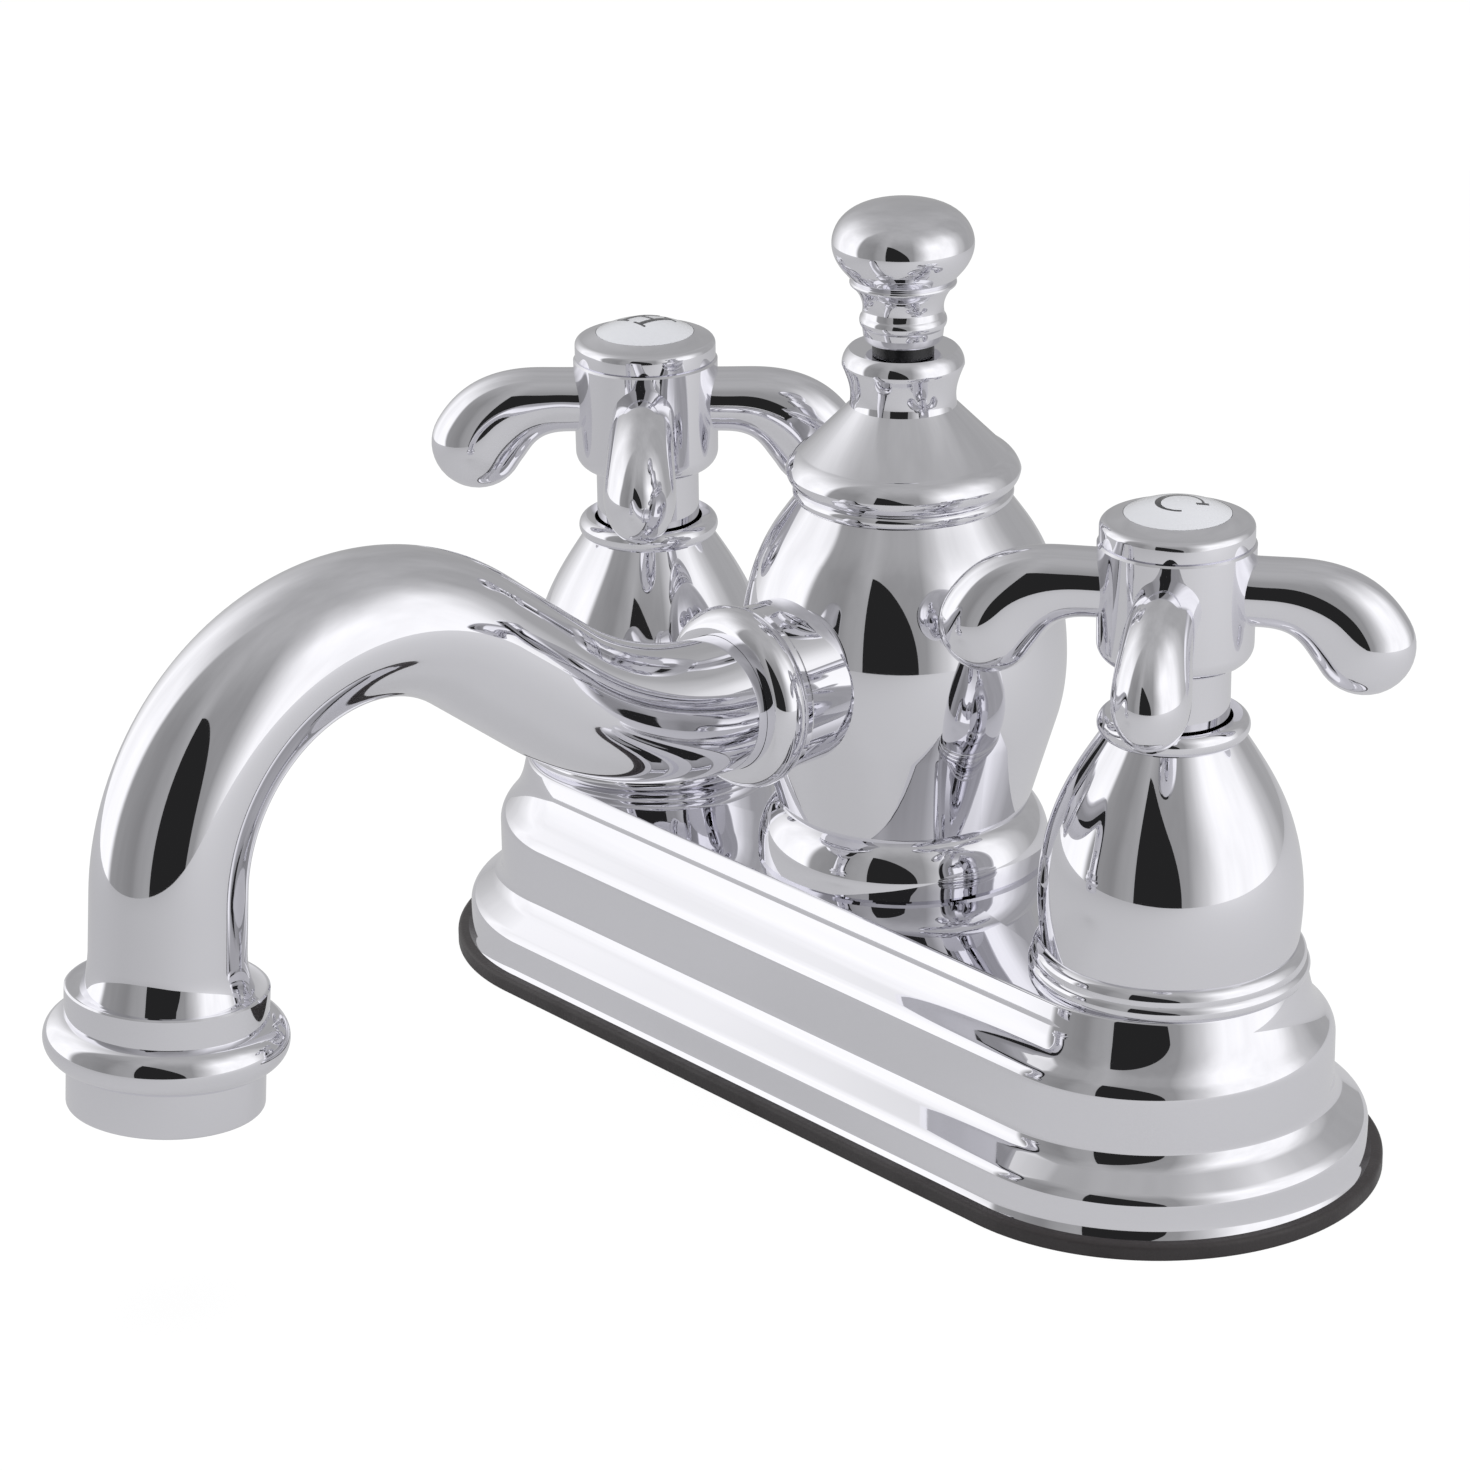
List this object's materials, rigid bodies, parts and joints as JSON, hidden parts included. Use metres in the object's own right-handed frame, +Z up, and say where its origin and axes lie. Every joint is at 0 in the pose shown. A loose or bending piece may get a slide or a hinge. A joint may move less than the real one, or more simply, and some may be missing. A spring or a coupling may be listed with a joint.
{
  "type": "centerset bathroom faucet",
  "caption": "Two-handle bathroom faucet on a stepped deck plate: cross handles with porcelain buttons, urn body, goose-neck spout, lift rod and ceramic disc valves.",
  "frame": {"origin": "on the sink deck, under the gasket, midway between the two handle axes", "axes": "+Z up from the deck, +X along the deck plate towards the cold handle on the user's right, -Y towards the user, where the spout points"},
  "size_m": [0.1554, 0.1624, 0.2016],
  "materials": {
    "polished_chrome": "mirror-polished chrome plate on brass",
    "raw_brass": "machined and cast brass, unplated",
    "plated_steel": "bright plated steel",
    "gasket_rubber": "dark matt rubber",
    "seal_rubber": "black seal rubber",
    "black_plastic": "black moulded bush",
    "white_plastic": "white moulded plastic",
    "disc_ceramic": "lapped alumina",
    "porcelain": "white glazed porcelain"
  },
  "bodies": {
    "faucet": {"deck_gasket": "gasket_rubber", "deck_plate": "polished_chrome", "waterway_casting": "raw_brass", "mounting_washers": "plated_steel", "mounting_nuts": "raw_brass", "centre_body": "polished_chrome", "body_seal": "seal_rubber", "cap_seal": "seal_rubber", "body_cap": "polished_chrome", "rod_sleeve": "raw_brass", "rod_bush": "black_plastic", "spout_coupling": "polished_chrome", "spout_seal": "seal_rubber", "spout_nut": "polished_chrome", "spout": "polished_chrome", "nozzle": "polished_chrome", "aerator_washer": "seal_rubber", "aerator_housing": "polished_chrome", "aerator_insert": "white_plastic", "hot_bell": "polished_chrome", "hot_seat_seal": "seal_rubber", "hot_cartridge_body": "raw_brass", "hot_fixed_disc": "disc_ceramic", "cold_bell": "polished_chrome", "cold_seat_seal": "seal_rubber", "cold_cartridge_body": "raw_brass", "cold_fixed_disc": "disc_ceramic"},
    "hot_valve": {"hot_turning_disc": "disc_ceramic", "hot_spindle": "raw_brass", "hot_spindle_seal": "seal_rubber", "hot_handle": "polished_chrome", "hot_handle_screw": "plated_steel", "hot_index_cap": "polished_chrome", "hot_button": "porcelain"},
    "cold_valve": {"cold_turning_disc": "disc_ceramic", "cold_spindle": "raw_brass", "cold_spindle_seal": "seal_rubber", "cold_handle": "polished_chrome", "cold_handle_screw": "plated_steel", "cold_index_cap": "polished_chrome", "cold_button": "porcelain"},
    "lift_control": {"lift_rod": "plated_steel", "lift_knob": "polished_chrome"}
  },
  "joints": [
    {"name": "hot_turn", "type": "hinge", "parent": "faucet", "child": "hot_valve", "pos_m": [-0.0508, 0, 0.0787], "axis": [0, 0, 1], "range_deg": [0, 90]},
    {"name": "cold_turn", "type": "hinge", "parent": "faucet", "child": "cold_valve", "pos_m": [0.0508, 0, 0.0787], "axis": [0, 0, 1], "range_deg": [-90, 0]},
    {"name": "rod_lift", "type": "slide", "parent": "faucet", "child": "lift_control", "axis": [0, 0, 1], "range_m": [0, 0.022]}
  ]
}
